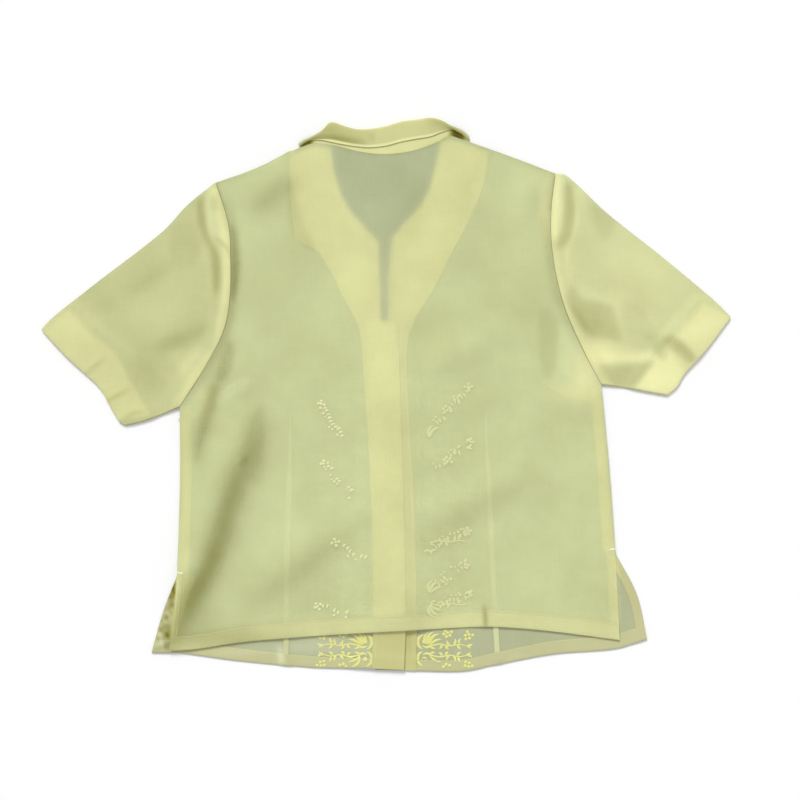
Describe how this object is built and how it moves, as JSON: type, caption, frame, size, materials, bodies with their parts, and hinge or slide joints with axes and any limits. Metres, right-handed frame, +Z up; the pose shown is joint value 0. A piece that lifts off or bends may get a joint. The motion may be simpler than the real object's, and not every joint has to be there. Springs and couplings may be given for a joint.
{
  "type": "embroidered blouse",
  "caption": "Sheer short-sleeved blouse with a turned collar, V neck, button placket and embroidered fronts, laid flat with its back up.",
  "frame": {"origin": "centre of the garment's box, on the surface that it lies on", "axes": "+Z up from the surface, with the garment's back up; +Y towards the collar; -X is the wearer's left"},
  "size_m": [0.826, 0.6634, 0.011],
  "materials": {
    "organza_back": "sheer plain-woven organza, pale yellow",
    "organza_front": "sheer plain-woven organza, pale yellow, embroidered",
    "organza_facing": "doubled organza, pale yellow",
    "organza_sleeve": "sheer plain-woven organza, pale yellow",
    "organza_collar": "doubled organza, pale yellow",
    "button": "polished resin, pale yellow"
  },
  "bodies": {
    "root": {"back": "organza_back", "front_left": "organza_front", "front_right": "organza_front", "facing_left": "organza_facing", "facing_right": "organza_facing", "sleeve_left": "organza_sleeve", "sleeve_right": "organza_sleeve", "collar": "organza_collar", "button_1": "button", "button_2": "button", "button_3": "button", "button_4": "button", "button_5": "button"}
  },
  "joints": []
}
